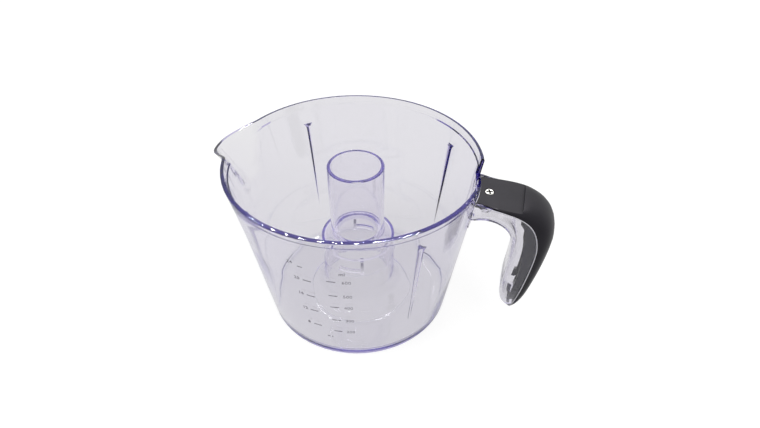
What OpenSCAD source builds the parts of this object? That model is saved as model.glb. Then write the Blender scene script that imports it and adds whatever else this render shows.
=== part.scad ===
/* [Jug] */
// outer radius of the rim, mm
rim_r = 67; // [60:0.5:75]
// height of the jug from its base to its rim, mm
jug_h = 97; // [90:0.5:108]
// outer radius of the base, mm
base_r = 54; // [50:0.5:60]
// thickness of the side wall, mm
wall_t = 2.6; // [2:0.1:3.4]
// thickness of the floor, mm
floor_t = 2.4; // [1.8:0.1:3.5]
// thickness of the wall at the rim above the inner step, mm
rim_t = 2; // [1.4:0.1:2]
// depth of the inner step below the rim, mm
step_d = 4; // [2:0.5:7]
// width of the notch in the rim at the handle, mm
notch_w = 27.6; // [26.5:0.1:30]

/* [Column] */
// outer radius of the boss over the drive, mm
boss_r = 21.2; // [20:0.1:24]
// radius of the flare at the foot of the boss, mm
foot_r = 13.6; // [11:0.2:15]
// radius of the open mouth under the flare, mm
mouth_r = 30; // [28:0.5:31]
// height of the shoulder of the boss, mm
shoulder_h = 43.8; // [38:0.2:50]
// radius of the bore through the upper tube, mm
bore_r = 13.5; // [12.4:0.1:13.8]
// wall thickness of the upper tube, mm
tube_t = 1.8; // [1.4:0.1:2.4]
// height of the top of the tube, mm
tube_h = 90.8; // [84:0.2:95]
// height of the locking ribs inside the boss, mm
lug_h = 10; // [7:0.5:12]
// how far the locking ribs stand in from the boss wall, mm
lug_d = 1.6; // [1:0.1:2.2]

/* [Basket ribs] */
// height of the top of the ribs on the wall, mm
rib_top = 84; // [76:0.5:86]
// height of the lower end of the ribs, mm
rib_bottom = 26; // [20:0.5:40]
// thickness of a rib, mm
rib_t = 1.8; // [1.2:0.1:2.4]
// how far a rib stands in from the wall at its top, mm
rib_d = 2.4; // [1:0.1:4]
// how far a rib flares to each side at its top, mm
rib_flare = 1.5; // [0:0.1:2.5]

/* [Spout] */
// how far the lip reaches out past the rim, mm
spout_reach = 12; // [6:0.1:14]
// how far the lip dips below the rim, mm
spout_dip = 5.2; // [2:0.5:8]
// half angle of the spout at the rim, degrees
spout_angle = 17.8; // [15:0.2:22]
// height of the spout's channel down the wall, mm
spout_h = 27; // [20:0.5:32]
// how far the rim draws out towards the spout, mm
rim_draw = 2; // [0:0.1:2.4]

/* [Handle] */
// reach of the grip from the jug axis, mm
grip_x = 98.5; // [96:0.5:106]
// drop of the flat top of the handle below the rim, mm
plate_drop = 9; // [8:0.5:13]
// height of the lower tip of the handle, mm
tip_z = 14.5; // [12:0.5:24]
// width of the handle, mm
handle_w = 26.8; // [25:0.2:28]
// wall thickness of the clear channel, mm
channel_t = 1.8; // [1.4:0.1:2.2]
// depth of the clear channel at the grip, mm
channel_d = 14; // [12:0.5:16]
// height of the crown of the cover over the seam, mm
crown_d = 7.1; // [5:0.1:9]
// wall thickness of the cover, mm
cover_t = 2.2; // [1.6:0.1:2.6]
// clearance between the cover and the channel, mm
fit_gap = 0.25; // [0.15:0.05:0.4]
// slope of the flat plate, degrees
plate_slope = 4.5; // [2:0.5:6]

/* [Screw] */
// distance of the screw from the jug wall, mm
screw_off = 4.8; // [4:0.1:8]
// diameter of the screw head, mm
head_d = 4.6; // [4:0.1:5.6]
// diameter of the shank, mm
shank_d = 2.2; // [1.8:0.1:2.6]
// length of the shank below the head, mm
shank_l = 7; // [5.5:0.5:7.5]
// radial clearance round the shank and the head, mm
screw_gap = 0.15; // [0.1:0.05:0.3]

/* [Hidden] */
$fn = 96;
lean = (rim_r - base_r) / jug_h;
plate_z = jug_h - plate_drop;
boss_t = 2;
socket_r = boss_r - boss_t;
foot_c = boss_r + foot_r;
foot_z = floor_t + foot_r;
foot_k = foot_r + boss_t;
lug_top = shoulder_h - boss_t - 1.6;
socket_h = lug_top - lug_h - 1.2;
tube_r = bore_r + tube_t;
neck_h = shoulder_h + 2.6;
wall_x = base_r + lean * plate_z;
hw = handle_w / 2;
slot_hw = hw - channel_t;
skirt_hw = slot_hw - fit_gap;
seam_gap = 0.1;
stations = 15;
arc_n = 12;

// a quarter arc of points for the turned profile
function arc(cx, cz, r, a0, a1, n = 6) =
    [for (i = [0:n]) [cx + r * cos(a0 + (a1 - a0) * i / n), cz + r * sin(a0 + (a1 - a0) * i / n)]];
function wall_out(z) = base_r + lean * z;
function wall_in(z) = wall_out(z) - wall_t;

// a cubic curve through its two end points
function bez(p, t) =
    pow(1 - t, 3) * p[0] + 3 * pow(1 - t, 2) * t * p[1]
    + 3 * (1 - t) * t * t * p[2] + pow(t, 3) * p[3];
function unit(v) = v / norm(v);

// the closed skin over a row of rings with the same number of points
module skin(rings) {
    n = len(rings[0]);
    m = len(rings);
    pts = [for (r = rings) for (p = r) p];
    sides = [for (i = [0:m - 2]) for (j = [0:n - 1])
        for (k = [0:1])
            k == 0 ? [i * n + j, i * n + (j + 1) % n, (i + 1) * n + j]
                   : [i * n + (j + 1) % n, (i + 1) * n + (j + 1) % n, (i + 1) * n + j]];
    cap0 = [for (j = [1:n - 2]) [0, j + 1, j]];
    cap1 = [for (j = [1:n - 2]) [(m - 1) * n, (m - 1) * n + j, (m - 1) * n + j + 1]];
    polyhedron(points = pts, faces = concat(sides, cap0, cap1));
}

// one ring: from a base point, out along a direction vector, rounded by a power
function half_ring(base, dir, h, pw) =
    [for (i = [0:arc_n])
        let (a = 180 * i / arc_n, c = cos(a), s = sin(a),
             y = h * sign(c) * pow(abs(c), 2 / pw),
             k = pow(max(s, 0), 2 / pw))
        [base[0] + dir[0] * k, y, base[1] + dir[1] * k]];

// the rails of the handle in its middle plane
drop = plate_z - tip_z;
seam_mid = [grip_x - 0.4, plate_z - 0.283 * drop];
seam_a = [[wall_x - 0.3, plate_z], [wall_x + 17.2, plate_z - 4.3],
    [grip_x - 3.4, plate_z - 0.018 * drop], seam_mid];
seam_b = [seam_mid, [grip_x + 1.1, plate_z - 0.414 * drop],
    [grip_x - 3.6, plate_z - 0.771 * drop], [grip_x - 6.3, tip_z]];
in_x = grip_x - channel_d;
in_mid = [in_x, plate_z - 0.294 * drop];
in_a = [[wall_x - 0.3, plate_z - 13], [wall_x + 6.4, plate_z - 8.3],
    [in_x - 1.6, plate_z - 0.185 * drop], in_mid];
in_b = [in_mid, [in_x + 4.1, plate_z - 0.573 * drop],
    [in_x - 4.9, plate_z - 0.876 * drop], [grip_x - 9.3, tip_z + 2]];
top_x = wall_x + 11.2;
out_x = grip_x + crown_d;
out_mid = [out_x, plate_z - 0.333 * drop];
out_a = [[top_x, plate_z + 0.1], [top_x + 17.1, plate_z + 1.9],
    [out_x + 2.1, plate_z - 0.049 * drop], out_mid];
out_b = [out_mid, [out_x - 1.3, plate_z - 0.52 * drop],
    [out_x - 5.6, plate_z - 0.917 * drop], [grip_x - 5.2, tip_z + 0.2]];
u0 = 0.28;
function seam_pt(u) = u < 1 ? bez(seam_a, u) : bez(seam_b, u - 1);
function in_pt(u) = u < 1 ? bez(in_a, u) : bez(in_b, u - 1);
function out_pt(u) = u < 1 ? bez(out_a, (u - u0) / (1 - u0)) : bez(out_b, u - 1);
function half_w(u) = u < 1.6 ? hw : hw * (1 - 0.42 * pow((u - 1.6) / 0.4, 2));

// the drawn-out shape of the wall, by angle from the spout and by height
function bell(x) = x >= 1 ? 0 : 0.5 + 0.5 * cos(180 * pow(x, 1.45));
function lip_top(a) = jug_h - spout_dip * bell(abs(a) / spout_angle);
function bulge(a, z) =
    let (t = max(0, 1 - (jug_h - z) / spout_h),
         w = spout_angle * (0.5 + 0.5 * t),
         draw = pow(max(0, 1 - (jug_h - z) / (spout_h + 8)), 1.5),
         peak = spout_reach / (1 - spout_dip / spout_h))
    peak * t * bell(abs(a) / w) + rim_draw * draw * pow(cos(min(abs(a) / 1.22, 90)), 2);
function skin_r(a, z) = wall_out(z) + bulge(a, z);

lip_steps = concat([0.8, 2], [for (a = [4:2:20]) a], [23, 26, 30]);
turn = concat([0], lip_steps, [for (a = [35:5:180]) a], [for (a = [175:-5:35]) -a],
    [for (i = [len(lip_steps) - 1:-1:0]) -lip_steps[i]]);

// the closed outline of the wall at one angle, in radius and height
fl = 3;
rise_out = [0.35, 0.62, 0.7, 0.78, 0.86, 0.93, 1];
rise_in = [1, 0.93, 0.86, 0.78, 0.7, 0.6, 0.35, 0];
function wall_ring(a) =
    let (zt = lip_top(a), zs = zt - step_d, zi = floor_t + fl, ri = skin_r(a, zi) - wall_t, rt = skin_r(a, zt))
    concat(
        [[base_r - 1.2, 0], [base_r - 0.35, 0.35]],
        [for (f = concat([0], rise_out)) let (z = 1.2 + (zt - 2.1) * f) [skin_r(a, z), z]],
        [[rt - 0.27, zt - 0.27], [rt - 0.9, zt], [rt - rim_t, zt],
         [skin_r(a, zs) - rim_t, zs], [skin_r(a, zs - 0.5) - wall_t, zs - 0.5]],
        [for (f = rise_in) if (f < 1) let (z = zi + (zs - 0.5 - zi) * f) [skin_r(a, z) - wall_t, z]],
        [for (b = [22.5:22.5:90]) [ri - fl * (1 - cos(b)), zi - fl * sin(b)]],
        [[base_r - 8, floor_t], [base_r - 8, 0]]);

// the moulded wall with its spout, as one loft round the axis
module wall_loft() {
    rings = [for (a = turn) [for (p = wall_ring(a)) [-p[0] * cos(a), -p[0] * sin(a), p[1]]]];
    n = len(rings[0]);
    m = len(rings);
    polyhedron(
        points = [for (r = rings) for (p = r) p],
        faces = [for (i = [0:m - 1]) for (j = [0:n - 1]) for (k = [0:1])
            let (i2 = (i + 1) % m, j2 = (j + 1) % n)
            k == 0 ? [i * n + j, i * n + j2, i2 * n + j] : [i * n + j2, i2 * n + j2, i2 * n + j]]);
}

// the underside of the flare, from the socket out to the mouth
function flare() =
    [for (i = [1:7]) let (b = 180 + acos((foot_c - mouth_r) / foot_k) * i / 7)
        [foot_c + foot_k * cos(b), foot_z * (1 + sin(b))]];

module core_profile() {
    polygon(concat(
        [[socket_r, socket_h], [socket_r, foot_z]], flare(),
        [[mouth_r, 0], [base_r - 6, 0], [base_r - 6, floor_t]],
        arc(foot_c, foot_z, foot_r, -90, -180, 10),
        arc(boss_r - 1, shoulder_h - 1, 1, 0, 75, 4),
        [[tube_r + 0.6, neck_h - 0.4], [tube_r, neck_h + 0.4], [tube_r, tube_h - 0.4],
         [tube_r - 0.4, tube_h], [bore_r, tube_h], [bore_r, neck_h + 1.6],
         [bore_r - 1.6, neck_h + 1.6], [bore_r - 1.6, neck_h - boss_t],
         [socket_r - 0.9, shoulder_h - boss_t - 0.4], [socket_r - 0.3, shoulder_h - boss_t - 1],
         [socket_r - 0.3, socket_h + 0.3]]));
}

// everything inside the middle of the wall, from the floor to above the rim
module cavity() {
    r = wall_t - 1;
    translate([0, 0, floor_t])
        cylinder(h = jug_h + 10 - floor_t, r1 = wall_out(floor_t) - r, r2 = wall_out(jug_h + 10) - r);
}

// one of the two locking ribs inside the boss, an upright stop with a track
module lug() {
    r0 = socket_r - lug_d;
    rotate([0, 0, -67])
        translate([r0, -1, lug_top - lug_h])
            cube([lug_d + 0.6, 2, lug_h]);
    rotate([0, 0, -107])
        rotate_extrude(angle = 40)
            translate([r0 + 0.1, lug_top - lug_h + 1.4])
                square([lug_d + 0.4, 2]);
}

// the outline of a rib at one height, thin and shallow at its foot and flared at its top
function rib_ring(z) =
    let (r = wall_in(z), k = (z - rib_bottom) / (rib_top - rib_bottom), d = 0.1 + rib_d * k,
         h = rib_t * (0.35 + 0.15 * k), w = h + 0.2 + rib_flare * pow(max(0, 1 - (rib_top - z) / 3), 2))
    [[r + 0.8, 0, z], [r + 0.8, -w, z], [r - 0.04, -w, z], [r - 0.4 * d, -h - 0.2 * (w - h), z],
     [r - d, -h * 0.6, z], [r - d, h * 0.6, z], [r - 0.4 * d, h + 0.2 * (w - h), z], [r - 0.04, w, z],
     [r + 0.8, w, z]];

// one thin rib on the inside of the wall
module wall_rib() {
    skin([for (z = [rib_bottom, (rib_bottom + rib_top) / 2, rib_top - 3, rib_top - 1.4, rib_top - 0.6, rib_top])
        rib_ring(z)]);
}

// the clear channel of the handle, closed at its tip
module channel() {
    us = concat([0], [for (i = [1:stations]) i / stations], [for (i = [1:stations]) 1 + i / stations]);
    s0 = seam_pt(0);
    i0 = in_pt(0);
    outer = concat(
        [half_ring([s0[0] - 6, s0[1]], i0 - s0, hw, 5)],
        [for (u = us) half_ring(seam_pt(u), in_pt(u) - seam_pt(u), half_w(u), 5)]);
    v1 = 1.9;
    vs = [for (i = [0:stations]) i / stations];
    ws = [for (i = [1:stations]) 1 + (v1 - 1) * i / stations];
    inner = [for (u = concat([-1], vs, ws))
        let (s = seam_pt(max(u, 0)) - [max(-u, 0) * 6, 0], q = in_pt(max(u, 0)) - [max(-u, 0) * 6, 0],
             d = unit(s - q), lift = 4 * (1 - 0.6 * max(0, u - 1)))
        half_ring(s + d * lift, (q + d * channel_t) - (s + d * lift), half_w(u) - channel_t, 6)];
    difference() {
        skin(outer);
        skin(inner);
    }
}

// the boss that takes the screw, inside the channel
module screw_post() {
    plate_frame()
        translate([screw_off, 0, -11.5])
            cylinder(h = 11.5 - cover_t - fit_gap, d = 6.4, $fn = 48);
}

module jug_body() {
    color([0.86, 0.84, 0.93, 0.45])
    difference() {
        union() {
            wall_loft();
            rotate_extrude() core_profile();
            difference() {
                union() {
                    channel();
                    screw_post();
                    for (s = [-1, 1])
                        translate([wall_x - 6, s * (hw - 3.2) - 0.9, plate_z - 17])
                            rotate([90, 0, 0]) mirror([0, 0, 1]) linear_extrude(height = 1.8)
                                polygon([[0, 0], [3.3, 0], [5.2, 9], [0, 9]]);
                }
                cavity();
            }
            for (a = [45, 135, 225, 315])
                rotate([0, 0, a]) wall_rib();
            for (a = [0, 180])
                rotate([0, 0, a]) lug();
        }
        translate([wall_x - 12, -notch_w / 2, plate_z])
            cube([rim_r + 2 - wall_x + 12, notch_w, plate_drop + 10]);
        plate_frame()
            translate([screw_off, 0, -9])
                cylinder(h = 12, d = shank_d + 2 * screw_gap, $fn = 32);
    }
}

// places its children on the sloping flat of the cover
module plate_frame() {
    translate([wall_x, 0, plate_z])
        rotate([0, plate_slope, 0])
            children();
}

// the height of the sloping flat at a distance from the jug axis
function flat_z(x) = plate_z - tan(plate_slope) * (x - wall_x);

// the cover over the seam: beside the flat it widens until it hides the channel's edges
module cover_dome() {
    us = concat([0.06, 0.12, 0.18, 0.24], [for (i = [0:stations]) u0 + 0.012 + (1 - u0 - 0.012) * i / stations],
        [for (i = [1:stations]) 1 + i / stations]);
    rings = [for (u = us)
        let (s = seam_pt(u), q = in_pt(u), d = unit(s - q), b = s + d * seam_gap,
             o = u < u0 ? [s[0] - 1.8, flat_z(s[0] - 1.8) + 1] : out_pt(u),
             w = u < u0 ? skirt_hw + (hw - skirt_hw) * u / u0 : half_w(u),
             pw = u < u0 ? 3.2 : u < 0.6 ? 3.2 - 0.8 * (u - u0) / (0.6 - u0) : 2.4)
        half_ring(b, o - b, -w, pw)];
    skin(rings);
}

module cover_skirt(h, deep, up) {
    k0 = 0.62;
    k1 = 1.8;
    us = [for (i = [0:2 * stations]) k0 + (k1 - k0) * i / (2 * stations)];
    rings = [for (u = us)
        let (s = seam_pt(u), q = in_pt(u), d = unit(q - s), o = unit(out_pt(u) - s),
             dep = deep + (u < 1.1 ? 3.4 + 3.4 * max(0, u - k0) / 0.48 : 6.8 - 2.6 * (u - 1.1) / 0.74),
             w = half_w(u) - hw + h - max(0, u - 1.4) * fit_gap)
        [[s[0] + o[0] * up, w, s[1] + o[1] * up], [s[0] + d[0] * dep, w, s[1] + d[1] * dep],
         [s[0] + d[0] * dep, -w, s[1] + d[1] * dep], [s[0] + o[0] * up, -w, s[1] + o[1] * up]]];
    skin(rings);
}

module handle_cover() {
    color([0.13, 0.12, 0.14])
    difference() {
        union() {
            difference() {
                cover_dome();
                plate_frame()
                    translate([-10, -hw - 5, 0]) cube([32, handle_w + 10, 20]);
            }
            cover_skirt(skirt_hw, 0, 0.8);
            plate_frame()
                translate([-4, -skirt_hw, -cover_t]) cube([28, skirt_hw * 2, cover_t]);
        }
        cylinder(h = jug_h, r1 = base_r + fit_gap, r2 = rim_r + fit_gap);
        cover_skirt(skirt_hw - 1.5, 3, crown_d * 0.55);
        plate_frame() {
            translate([screw_off, 0, -10]) cylinder(h = 20, d = shank_d + 2 * screw_gap, $fn = 32);
            translate([screw_off, 0, -1]) cylinder(h = 10, d = head_d + 2 * screw_gap, $fn = 48);
        }
    }
}

module cover_screw() {
    color([0.75, 0.75, 0.77])
    plate_frame()
        translate([screw_off, 0, -1])
            difference() {
                union() {
                    cylinder(h = 0.7, d = head_d, $fn = 48);
                    translate([0, 0, 0.7]) cylinder(h = 0.5, d1 = head_d, d2 = head_d - 1.2, $fn = 48);
                    translate([0, 0, -shank_l]) cylinder(h = shank_l, d = shank_d, $fn = 32);
                    translate([0, 0, -shank_l - 0.8]) cylinder(h = 0.8, d1 = 0.6, d2 = shank_d, $fn = 32);
                }
                for (a = [20, 110])
                    rotate([0, 0, a]) translate([-1.25, -0.32, 0.3]) cube([2.5, 0.64, 2]);
            }
}

jug_body();
handle_cover();
cover_screw();
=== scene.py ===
import math

import bpy
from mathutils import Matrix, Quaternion, Vector


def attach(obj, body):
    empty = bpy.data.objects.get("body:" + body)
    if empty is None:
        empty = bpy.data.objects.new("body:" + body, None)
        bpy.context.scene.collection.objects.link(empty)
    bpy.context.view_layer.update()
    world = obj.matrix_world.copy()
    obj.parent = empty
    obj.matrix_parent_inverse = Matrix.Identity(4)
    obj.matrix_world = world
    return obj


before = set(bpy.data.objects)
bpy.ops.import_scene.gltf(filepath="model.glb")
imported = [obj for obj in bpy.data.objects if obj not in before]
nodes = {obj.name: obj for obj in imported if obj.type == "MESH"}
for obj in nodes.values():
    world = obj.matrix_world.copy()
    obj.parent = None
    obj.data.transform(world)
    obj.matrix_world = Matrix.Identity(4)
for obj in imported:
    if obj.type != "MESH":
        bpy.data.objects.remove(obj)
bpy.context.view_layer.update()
scene = bpy.context.scene

MM = 0.001

# the camera: its place in metres, its way and roll, and its sensor and lens in millimetres
CAM_AT = Vector((0.07055, -0.21356, 0.24714))
CAM_WAY = Vector((-0.197637, 0.737590, -0.645679))
CAM_ROLL = math.radians(0.0287)
CAM_CLIP = (0.01, 20)
SENSOR = 36.0
LENS = 24.504


def make_camera():
    data = bpy.data.cameras.new("camera")
    data.sensor_width = SENSOR
    data.lens = LENS
    data.clip_start, data.clip_end = CAM_CLIP
    cam = bpy.data.objects.new("camera", data)
    scene.collection.objects.link(cam)
    cam.location = CAM_AT
    cam.rotation_mode = "QUATERNION"
    cam.rotation_quaternion = CAM_WAY.to_track_quat("-Z", "Y") @ Quaternion((0, 0, 1), CAM_ROLL)
    scene.camera = cam


# short ways to build a material
def node(tree, kind, inputs=None, **settings):
    """Adds a shader node. An input is a number, a colour, or the node and output that feed it."""
    made = tree.nodes.new("ShaderNode" + kind)
    for name, value in settings.items():
        setattr(made, name, value)
    for socket, value in (inputs or {}).items():
        if isinstance(value, tuple) and isinstance(value[0], bpy.types.Node):
            tree.links.new(value[0].outputs[value[1]], made.inputs[socket])
        else:
            made.inputs[socket].default_value = value
    return made


def calc(tree, operation, *values):
    """Does one sum on numbers."""
    return node(tree, "Math", dict(enumerate(values)), operation=operation), "Value"


def point(tree, operation, *values):
    """Does one sum on vectors that gives a vector."""
    return node(tree, "VectorMath", dict(enumerate(values)), operation=operation), "Vector"


def measure(tree, operation, *values):
    """Does one sum on vectors that gives a number."""
    return node(tree, "VectorMath", dict(enumerate(values)), operation=operation), "Value"


def axis(tree, vector, name):
    """Takes one coordinate of a vector."""
    return node(tree, "SeparateXYZ", {"Vector": vector}), name


def above(tree, value, limit):
    return calc(tree, "GREATER_THAN", value, limit)


def below(tree, value, limit):
    return calc(tree, "LESS_THAN", value, limit)


def size_of(tree, value):
    return calc(tree, "ABSOLUTE", value)


def all_of(tree, first, *others):
    """Is 1 where every one of the given tests is 1."""
    for other in others:
        first = calc(tree, "MULTIPLY", first, other)
    return first


def ramp(tree, value, low, high, start=0.0, end=1.0):
    """Runs from one colour to another as a value rises."""
    made = node(tree, "ValToRGB", {"Fac": value})
    for stop, colour, position in zip(made.color_ramp.elements, (low, high), (start, end)):
        stop.color = colour
        stop.position = position
    return made, "Color"


def rise(tree, value, low, high):
    """Goes from 0 to 1 as a value goes from low to high."""
    return node(tree, "MapRange", {"Value": value, "From Min": low, "From Max": high}), "Result"


def spread(tree, value, low, high):
    """Goes from low to high as a value goes from 0 to 1."""
    return node(tree, "MapRange", {"Value": value, "To Min": low, "To Max": high}), "Result"


def tint(tree, where, under, colour):
    """Puts a colour in place of another one where a test is 1."""
    return node(tree, "Mix", {"Factor": where, "A": under, "B": colour}, data_type="RGBA"), "Result"


def noise(tree, place, scale, detail=2.0):
    return node(tree, "TexNoise", {"Vector": place, "Scale": scale, "Detail": detail}), "Fac"


def bump(tree, height, strength, distance):
    made = node(tree, "Bump", {"Height": height, "Strength": strength, "Distance": distance})
    return made, "Normal"


def new_material(name):
    """A material with an empty tree, and the place on the object that its nodes read."""
    mat = bpy.data.materials.new(name)
    mat.use_nodes = True
    tree = mat.node_tree
    tree.nodes.clear()
    place = node(tree, "TexCoord"), "Object"
    return mat, tree, place


def close_material(tree, shader, volume=None):
    """Leads the finished shader, and what fills the body, to the material's output."""
    out = node(tree, "OutputMaterial", {"Surface": (shader, 0)})
    if volume:
        tree.links.new(volume.outputs["Volume"], out.inputs["Volume"])


# the clear plastic, and where painted violet shade darkens its ribs, spout rim and stops, in metres
PLASTIC_IOR = 1.54
CLEAR = (0.985, 0.98, 0.985, 1)
CLEAR_ROUGH = 0.02
RIB_PAINTED_SHADE = (0.27, 0.23, 0.50, 1)
RIM_PAINTED_SHADE = (0.42, 0.37, 0.72, 1)
STOP_PAINTED_SHADE = (0.10, 0.095, 0.14, 1)
DEPTH_VIOLET = (0.13, 0.02, 0.66, 1)
DEPTH_DENSITY = 24.0
RIB_BAND = 0.0045
RIB_SIDEWAYS = 0.034
SPOUT_FROM_X = -0.060
SPOUT_FROM_Z = 0.088
RIM_UPWARDS = 0.78
STOP_AZ = math.radians(-67)
STOP_OUT = Vector((math.cos(STOP_AZ), math.sin(STOP_AZ), 0))
STOP_ACROSS = Vector((-math.sin(STOP_AZ), math.cos(STOP_AZ), 0))
STOP_HALF_W = 0.00075
STOP_FROM_R = 0.0175
STOP_TO_R = 0.0188
STOP_FOOT_Z = 0.0315
STOP_DARK_Z = 0.0365
STOP_TOP_Z = 0.0390


def rib_sides(tree, place, normal):
    """The upright sides of the four ribs, which stand at 45 degrees to the axes."""
    turned = point(tree, "MULTIPLY", normal, place)
    folded = point(tree, "ABSOLUTE", place)
    across = [size_of(tree, calc(tree, "SUBTRACT", axis(tree, v, "X"), axis(tree, v, "Y")))
              for v in (turned, folded)]
    return all_of(tree, above(tree, across[0], RIB_SIDEWAYS), below(tree, across[1], RIB_BAND))


def spout_rim(tree, place, normal):
    """The top of the rim round the spout."""
    return all_of(tree, above(tree, axis(tree, normal, "Z"), RIM_UPWARDS),
                  below(tree, axis(tree, place, "X"), SPOUT_FROM_X),
                  above(tree, axis(tree, place, "Z"), SPOUT_FROM_Z))


def locking_stops(tree, place):
    """The inner faces of the two upright stops inside the boss, where painted shade is laid, stronger
    towards their tops.
    """
    across = size_of(tree, measure(tree, "DOT_PRODUCT", place, STOP_ACROSS))
    out = size_of(tree, measure(tree, "DOT_PRODUCT", place, STOP_OUT))
    height = axis(tree, place, "Z")
    return all_of(tree, below(tree, across, STOP_HALF_W), above(tree, out, STOP_FROM_R),
                  below(tree, out, STOP_TO_R), below(tree, height, STOP_TOP_Z),
                  rise(tree, height, STOP_FOOT_Z, STOP_DARK_Z))


def clear_plastic():
    """Clear moulded plastic whose long edges gather a violet tint through its depth, with painted violet
    shade on the rib sides, the spout rim and the stops.
    """
    mat, tree, place = new_material("clear_plastic")
    normal = node(tree, "NewGeometry"), "Normal"
    # painted shade: the upright rib sides are darkened violet in the colour
    colour = tint(tree, rib_sides(tree, place, normal), CLEAR, RIB_PAINTED_SHADE)
    # painted shade: the top of the rim round the spout is darkened violet in the colour
    colour = tint(tree, spout_rim(tree, place, normal), colour, RIM_PAINTED_SHADE)
    # painted shade: the inner faces of the stops are darkened, more towards their tops
    colour = tint(tree, locking_stops(tree, place), colour, STOP_PAINTED_SHADE)
    flow = noise(tree, place, scale=38, detail=1.5)
    glass = node(tree, "BsdfPrincipled", {
        "Base Color": colour,
        "Roughness": CLEAR_ROUGH,
        "IOR": PLASTIC_IOR,
        "Transmission Weight": 1.0,
        "Normal": bump(tree, flow, strength=0.04, distance=0.0006),
    })
    depth = node(tree, "VolumeAbsorption", {"Color": DEPTH_VIOLET, "Density": DEPTH_DENSITY})
    close_material(tree, glass, depth)
    return mat


# the charcoal plastic, with painted violet shade on the skirt inside the channel, which is told by its
# upright sides, in metres
CHARCOAL = ((0.0085, 0.0080, 0.0110, 1), (0.0130, 0.0120, 0.0165, 1))
CHARCOAL_ROUGH = (0.36, 0.46)
CHARCOAL_GLOSS = 0.23
CHARCOAL_SHEEN = (0.96, 0.92, 1.0, 1)
SKIRT_PAINTED_SHADE = (0.008, 0.006, 0.034, 1)
SKIRT_UPRIGHT = 0.90
SKIRT_REACH = 0.0118


def charcoal_plastic():
    """Dark charcoal moulding with a fine satin grain and a few handling marks, and painted violet shade on
    the upright skirt inside the clear channel.
    """
    mat, tree, place = new_material("charcoal_plastic")
    sideways = axis(tree, (node(tree, "NewGeometry"), "Normal"), "Y")
    upright = above(tree, calc(tree, "MULTIPLY", sideways, sideways), SKIRT_UPRIGHT)
    inside = below(tree, size_of(tree, axis(tree, place, "Y")), SKIRT_REACH)
    mottle = noise(tree, place, scale=90, detail=3)
    shade = ramp(tree, mottle, *CHARCOAL, start=0.3, end=0.7)
    grain = noise(tree, place, scale=2600)
    bsdf = node(tree, "BsdfPrincipled", {
        # painted shade: the upright skirt faces inside the channel are darkened violet
        "Base Color": tint(tree, all_of(tree, upright, inside), shade, SKIRT_PAINTED_SHADE),
        "Roughness": spread(tree, mottle, *CHARCOAL_ROUGH),
        "Specular IOR Level": CHARCOAL_GLOSS,
        "Specular Tint": CHARCOAL_SHEEN,
        "Normal": bump(tree, grain, strength=0.12, distance=0.0001),
    })
    close_material(tree, bsdf)
    return mat


# the screw and the painted shade in its cross, in metres, on the plate, which tilts down away from the jug
SCREW_AT = Vector((0.0705, -0.0003, 0.0878))
PLATE_TILT = math.radians(4.5)
PLATE_UP = Vector((math.sin(PLATE_TILT), 0, math.cos(PLATE_TILT)))
PLATE_OUT = Vector((math.cos(PLATE_TILT), 0, -math.sin(PLATE_TILT)))
CROSS_ANGLES = (20, 110)
CROSS_HALF_W = 0.00042
CROSS_REACH = 0.00165
CROSS_SOFT = 0.00012
RECESS_FROM = -0.00045
RECESS_TO = -0.00025
PAINTED_SHADE_AND_STEEL = ((0.002, 0.002, 0.003, 1), (0.88, 0.87, 0.83, 1))
STEEL_ROUGH = (0.30, 0.50)


def screw_steel():
    """Plated steel, painted darker down in the cross recess as painted shade."""
    mat, tree, place = new_material("screw_steel")
    off = point(tree, "SUBTRACT", place, SCREW_AT)
    depth = measure(tree, "DOT_PRODUCT", off, PLATE_UP)
    arms = [Quaternion(PLATE_UP, math.radians(a)) @ PLATE_OUT for a in CROSS_ANGLES]
    nearest = calc(tree, "MINIMUM", *[size_of(tree, measure(tree, "DOT_PRODUCT", off, a)) for a in arms])
    beside = rise(tree, nearest, CROSS_HALF_W, CROSS_HALF_W + CROSS_SOFT)
    beyond = rise(tree, measure(tree, "LENGTH", off), CROSS_REACH, CROSS_REACH + CROSS_SOFT)
    # painted shade: the steel is painted black in the cross and down in the recess
    lit = calc(tree, "MULTIPLY", rise(tree, depth, RECESS_FROM, RECESS_TO),
               calc(tree, "MAXIMUM", beside, beyond))
    bsdf = node(tree, "BsdfPrincipled", {
        "Base Color": ramp(tree, lit, *PAINTED_SHADE_AND_STEEL),
        "Metallic": 1.0,
        "Roughness": spread(tree, noise(tree, place, scale=900), *STEEL_ROUGH),
    })
    close_material(tree, bsdf)
    return mat


# the marks, and the pale bead along the seam that is a painted highlight
MARK_SHADES = ((0.10, 0.092, 0.13, 1), (0.22, 0.205, 0.26, 1))
MARK_ROUGH = 0.5
SEAM_HIGHLIGHT_SHADES = ((0.66, 0.64, 0.74, 1), (0.92, 0.91, 0.95, 1))
SEAM_HIGHLIGHT_ROUGH = 0.32


def mark_plastic(name, strength):
    """The frosted tops of the raised volume marks."""
    mat, tree, place = new_material(name)
    bsdf = node(tree, "BsdfPrincipled", {
        "Base Color": ramp(tree, noise(tree, place, scale=700), *MARK_SHADES),
        "Roughness": MARK_ROUGH,
        "Alpha": strength,
    })
    close_material(tree, bsdf)
    return mat


def seam_highlight_plastic():
    """A pale frosted bead along the seam, a painted highlight for the bright line where the clear channel
    meets the cover.
    """
    mat, tree, place = new_material("seam_highlight_plastic")
    bsdf = node(tree, "BsdfPrincipled", {
        "Base Color": ramp(tree, noise(tree, place, scale=500), *SEAM_HIGHLIGHT_SHADES),
        "Roughness": SEAM_HIGHLIGHT_ROUGH,
        "IOR": PLASTIC_IOR,
    })
    close_material(tree, bsdf)
    return mat


# how near points of a CAD mesh are joined, in metres
WELD = 2e-6


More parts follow.
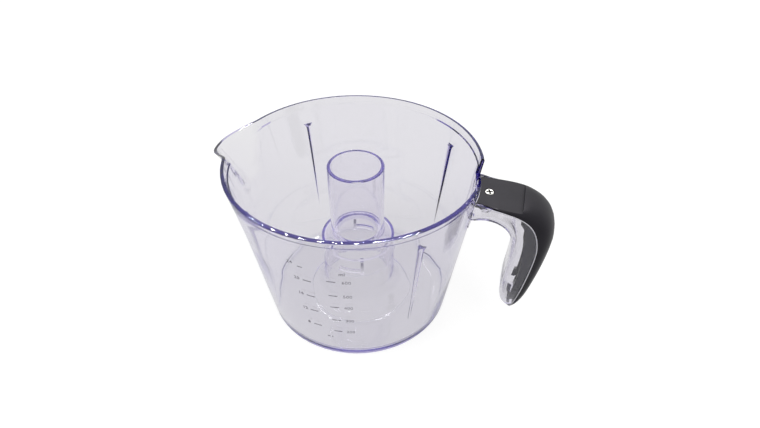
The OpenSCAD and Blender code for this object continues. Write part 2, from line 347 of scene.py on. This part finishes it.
def dress(name, mat, crease):
    """Gives a CAD node its material, with smooth normals between edges sharper than crease, in degrees."""
    obj = nodes[name]
    mesh = obj.data
    if "custom_normal" in mesh.attributes:
        mesh.attributes.remove(mesh.attributes["custom_normal"])
    mesh.polygons.foreach_set("use_smooth", [True] * len(mesh.polygons))
    weld = obj.modifiers.new("weld", "WELD")
    weld.merge_threshold = WELD
    split = obj.modifiers.new("split", "EDGE_SPLIT")
    split.split_angle = math.radians(crease)
    even = obj.modifiers.new("even", "WEIGHTED_NORMAL")
    even.keep_sharp = True
    if not obj.material_slots:
        mesh.materials.append(mat)
    for slot in obj.material_slots:
        slot.material = mat


# the outer wall as a cone, in metres: its radius at the foot and how far it leans out per metre of height
BASE_R = 0.054
LEAN = 13 / 97
# the two scales on the front of the wall: angles in degrees and heights in millimetres
ML_AZ = -84
ML_HEIGHTS = [24.5, 35.5, 47.5, 57.5, 69]
ML_FIRST = 200
ML_STEP = 100
OZ_AZ = -95
OZ_HEIGHTS = [27, 40.5, 53.5, 66]
OZ_FIRST = 8
OZ_STEP = 4
OZ_TOP_AZ = -96.5
OZ_TOP_HEIGHT = 77.5
OZ_TOP_WORD = "24"
OZ_TOP_BAR = (-0.4, -1.4)
LOW_BAR = (-89, 18)
UNIT_WORD = "ml"
UNIT_AT = (-79, 75.5)
# how far a number stands from its bar, in degrees and millimetres
ML_BESIDE = (6.6, 0)
OZ_BESIDE = (-5, 0.3)
# sizes of the marks, in metres
MARK_LEN = 0.0043
MARK_W = 0.00042
MARK_RISE = 0.00012
MARK_SUNK = 0.00005
TOP_BAR_LEN = 0.6 * MARK_LEN
LOW_BAR_LEN = 0.7 * MARK_LEN
BAR_CUTS = 6
TEXT_H = 0.0022
CAPITAL = 0.72
BAR_ALPHA = 0.58
NUMBER_ALPHA = 0.40


def on_wall(az, z, s, t, lift):
    """A point on the outer wall: s to the right and t up the slope from an angle and a height."""
    h = z + t * math.cos(math.atan(LEAN))
    r = BASE_R + LEAN * h
    a = math.radians(az) + s / r
    return Vector(((r + lift) * math.cos(a), (r + lift) * math.sin(a), h))


def add_patch(verts, faces, flat, polygons, place):
    """Raises a flat shape a little out of the wall and closes its sides."""
    n = len(verts)
    k = len(flat)
    for lift in (-MARK_SUNK, MARK_RISE):
        verts.extend(place(p[0], p[1], lift) for p in flat)
    sides = {}
    for f in polygons:
        faces.append([n + i for i in reversed(f)])
        faces.append([n + k + i for i in f])
        for i in range(len(f)):
            e = (f[i], f[(i + 1) % len(f)])
            if (e[1], e[0]) in sides:
                del sides[(e[1], e[0])]
            else:
                sides[e] = True
    for a, b in sides:
        faces.append([n + a, n + b, n + k + b, n + k + a])


def text_shape(words):
    """The flat outline of a word, centred, as points and faces."""
    curve = bpy.data.curves.new("word", "FONT")
    curve.body = words
    curve.size = TEXT_H / CAPITAL
    curve.resolution_u = 3
    curve.align_x = "CENTER"
    obj = bpy.data.objects.new("word", curve)
    scene.collection.objects.link(obj)
    graph = bpy.context.evaluated_depsgraph_get()
    mesh = bpy.data.meshes.new_from_object(obj.evaluated_get(graph))
    flat = [(v.co.x, v.co.y - TEXT_H / 2) for v in mesh.vertices]
    polygons = [list(p.vertices) if p.normal.z > 0 else list(p.vertices)[::-1] for p in mesh.polygons]
    bpy.data.objects.remove(obj)
    bpy.data.curves.remove(curve)
    bpy.data.meshes.remove(mesh)
    return flat, polygons


def bar_shape(length):
    """The flat outline of a bar, cut up so that it can follow the wall."""
    n = BAR_CUTS
    flat = [(-length / 2 + length * i / n, y) for y in (-MARK_W / 2, MARK_W / 2) for i in range(n + 1)]
    polygons = [[i, i + 1, n + 2 + i, n + 1 + i] for i in range(n)]
    return flat, polygons


def volume_marks():
    """Both scales as one thin mesh on the wall, with the numbers on the right fainter than the bars."""
    verts = []
    faces = []

    def put(shape, az, z, beside=(0, 0)):
        add_patch(verts, faces, shape[0], shape[1],
                  lambda s, t, lift: on_wall(az + beside[0], (z + beside[1]) * MM, s, t, lift))

    for i, z in enumerate(ML_HEIGHTS):
        put(text_shape(str(ML_FIRST + ML_STEP * i)), ML_AZ, z, ML_BESIDE)
    faint = len(faces)
    for z in ML_HEIGHTS:
        put(bar_shape(MARK_LEN), ML_AZ, z)
    for i, z in enumerate(OZ_HEIGHTS):
        put(bar_shape(MARK_LEN), OZ_AZ, z)
        put(text_shape(str(OZ_FIRST + OZ_STEP * i)), OZ_AZ, z, OZ_BESIDE)
    put(bar_shape(TOP_BAR_LEN), OZ_TOP_AZ, OZ_TOP_HEIGHT, OZ_TOP_BAR)
    put(text_shape(OZ_TOP_WORD), OZ_TOP_AZ, OZ_TOP_HEIGHT, OZ_BESIDE)
    put(bar_shape(LOW_BAR_LEN), *LOW_BAR)
    put(text_shape(UNIT_WORD), *UNIT_AT)
    mesh = bpy.data.meshes.new("volume_marks")
    mesh.from_pydata(verts, [], faces)
    mesh.update()
    obj = bpy.data.objects.new("volume_marks", mesh)
    scene.collection.objects.link(obj)
    mesh.materials.append(mark_plastic("mark_plastic", BAR_ALPHA))
    mesh.materials.append(mark_plastic("number_plastic", NUMBER_ALPHA))
    for face in mesh.polygons[:faint]:
        face.material_index = 1
    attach(obj, "root")


# the seam between the clear channel and the dark cover, as x and z in the handle's middle plane, in metres
SEAM_UPPER = [Vector(p) for p in ((0.0655, 0.0880), (0.0830, 0.0837), (0.0951, 0.0867), (0.0981, 0.0672))]
SEAM_LOWER = [Vector(p) for p in ((0.0981, 0.0672), (0.0996, 0.0576), (0.0949, 0.0313), (0.0922, 0.0145))]
# the handle's half width, and how it narrows towards the tip, where the way along the seam ends at 2
HANDLE_HALF_W = 0.0134
SEAM_END = 2
NARROW_FROM = 1.6
NARROW_BY = 0.42
# the pale bead that paints the seam's highlight: its radius, how far it sinks, and where along the seam it
# runs
BEAD_R = 0.00028
BEAD_SUNK = 0.00006
BEAD_FROM = 0.10
BEAD_TO = 1.97
BEAD_STEPS = 60


def seam_point(u):
    """A point of the handle's seam in its middle plane, u from 0 at the wall to 2 at the tip."""
    a, b, c, d = SEAM_UPPER if u < 1 else SEAM_LOWER
    t = u if u < 1 else u - 1
    return (1 - t) ** 3 * a + 3 * t * (1 - t) ** 2 * b + 3 * t * t * (1 - t) * c + t ** 3 * d


def seam_half_width(u):
    """Half the handle's width at the seam, which narrows towards the tip."""
    late = max(0.0, (u - NARROW_FROM) / (SEAM_END - NARROW_FROM))
    return HANDLE_HALF_W * (1 - NARROW_BY * late ** 2)


def seam_highlight_bead(side, name):
    """A thin pale bead along the seam on one side of the handle, a painted highlight for the bright edge
    of the clear channel.
    """
    curve = bpy.data.curves.new(name, "CURVE")
    curve.dimensions = "3D"
    curve.bevel_depth = BEAD_R
    curve.bevel_resolution = 3
    line = curve.splines.new("POLY")
    line.points.add(BEAD_STEPS)
    for i in range(BEAD_STEPS + 1):
        u = BEAD_FROM + (BEAD_TO - BEAD_FROM) * i / BEAD_STEPS
        p = seam_point(u)
        line.points[i].co = (p.x, side * (seam_half_width(u) - BEAD_SUNK), p.y, 1)
    curve.materials.append(seam_highlight_plastic())
    lip = bpy.data.objects.new(name, curve)
    scene.collection.objects.link(lip)
    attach(lip, "root")


# the stage, in metres
WHITE = (1, 1, 1, 1)
FLOOR_HALF = 3.0
FLOOR_Z = -0.0003
FLOOR_GREY = (0.25, 0.25, 0.25, 1)
CAM_GLOW = 0.86
SEEN_GLOW = 0.60
WORLD_LIGHT = 0.55
WORLD_SEEN = 1.0
BEFORE_ONE = 0.5


def not_yet_lit(tree, path):
    """Is 1 while a ray hasn't yet lit anything."""
    return below(tree, (path, "Diffuse Depth"), BEFORE_ONE)


def in_gloss_or_glass(tree, path):
    return calc(tree, "MAXIMUM", (path, "Is Glossy Ray"), (path, "Is Transmission Ray"))


def white_floor():
    """A floor that shows white to the camera, in gloss and through glass, and still takes shadow."""
    mat, tree, place = new_material("floor_white")
    path = node(tree, "LightPath")
    seen = all_of(tree, in_gloss_or_glass(tree, path), not_yet_lit(tree, path))
    direct = calc(tree, "MULTIPLY", (path, "Is Camera Ray"), CAM_GLOW)
    strength = calc(tree, "MULTIPLY_ADD", seen, SEEN_GLOW, direct)
    base = node(tree, "BsdfDiffuse", {"Color": FLOOR_GREY})
    glow = node(tree, "Emission", {"Color": WHITE, "Strength": strength})
    close_material(tree, node(tree, "AddShader", {0: (base, "BSDF"), 1: (glow, "Emission")}))
    return mat


def make_stage():
    mesh = bpy.data.meshes.new("floor")
    h = FLOOR_HALF
    mesh.from_pydata([(-h, -h, 0), (h, -h, 0), (h, h, 0), (-h, h, 0)], [], [(0, 1, 2, 3)])
    floor = bpy.data.objects.new("floor", mesh)
    floor.location.z = FLOOR_Z
    scene.collection.objects.link(floor)
    mesh.materials.append(white_floor())


def make_world():
    world = bpy.data.worlds.new("studio")
    world.use_nodes = True
    tree = world.node_tree
    tree.nodes.clear()
    path = node(tree, "LightPath")
    seen = calc(tree, "MAXIMUM", (path, "Is Camera Ray"), in_gloss_or_glass(tree, path))
    light = node(tree, "Background", {"Color": WHITE, "Strength": WORLD_LIGHT})
    white = node(tree, "Background", {"Color": WHITE, "Strength": WORLD_SEEN})
    mix = node(tree, "MixShader", {
        "Fac": all_of(tree, seen, not_yet_lit(tree, path)),
        1: (light, "Background"),
        2: (white, "Background"),
    })
    node(tree, "OutputWorld", {"Surface": (mix, "Shader")})
    scene.world = world


# three soft lamps: name, place, size in metres and watts, all turned to the middle of the jug
MIDDLE = (0, 0, 0.05)
LAMPS = [
    ("key", (-1.8, -1.5, 3.3), (1.5, 1.5), 40),
    ("fill", (2.7, -1.5, 2.4), (1.8, 1.2), 22),
    ("back", (0.3, 3.0, 2.7), (2.4, 1.2), 22),
]
# a row of narrow strips overhead that only shows as glints on edges
STRIP_N = 13
STRIP_X0 = -1.9
STRIP_STEP = 0.2
STRIP_SIZE = (0.06, 0.4)
STRIP_Y = 0.9
STRIP_Z = 2.4
STRIP_W = 15.0


def area(name, at, towards, size, watts):
    data = bpy.data.lights.new(name, "AREA")
    data.shape = "RECTANGLE"
    data.size, data.size_y = size
    data.energy = watts
    obj = bpy.data.objects.new(name, data)
    obj.location = at
    way = Vector(towards) - Vector(at)
    obj.rotation_mode = "QUATERNION"
    obj.rotation_quaternion = way.to_track_quat("-Z", "Y")
    scene.collection.objects.link(obj)
    obj.visible_transmission = False
    return obj


def show_in_gloss_only(lamp):
    """Keeps a lamp out of the light that gloss throws on other things."""
    lamp.visible_diffuse = False
    lamp.data.use_nodes = True
    tree = lamp.data.node_tree
    glow = next(n for n in tree.nodes if n.type == "EMISSION")
    fresh, output = not_yet_lit(tree, node(tree, "LightPath"))
    tree.links.new(fresh.outputs[output], glow.inputs["Strength"])


def make_lights():
    for name, at, size, watts in LAMPS:
        soft = area(name, at, MIDDLE, size, watts)
        soft.visible_glossy = False
    for i in range(STRIP_N):
        x = STRIP_X0 + STRIP_STEP * i
        strip = area("strip_%02d" % i, (x, STRIP_Y, STRIP_Z), (x, STRIP_Y, 0), STRIP_SIZE, STRIP_W)
        show_in_gloss_only(strip)


make_camera()
dress("jug_body", clear_plastic(), crease=32)
dress("handle_cover", charcoal_plastic(), crease=30)
dress("cover_screw", screw_steel(), crease=30)
volume_marks()
seam_highlight_bead(-1, "seam_highlight_near")
seam_highlight_bead(1, "seam_highlight_far")
make_stage()
make_world()
make_lights()

# how often light may bounce, so that long ways through the rim keep their violet
BOUNCES = 160
scene.cycles.max_bounces = BOUNCES
scene.cycles.glossy_bounces = BOUNCES
scene.cycles.transmission_bounces = BOUNCES
scene.view_settings.view_transform = "Standard"
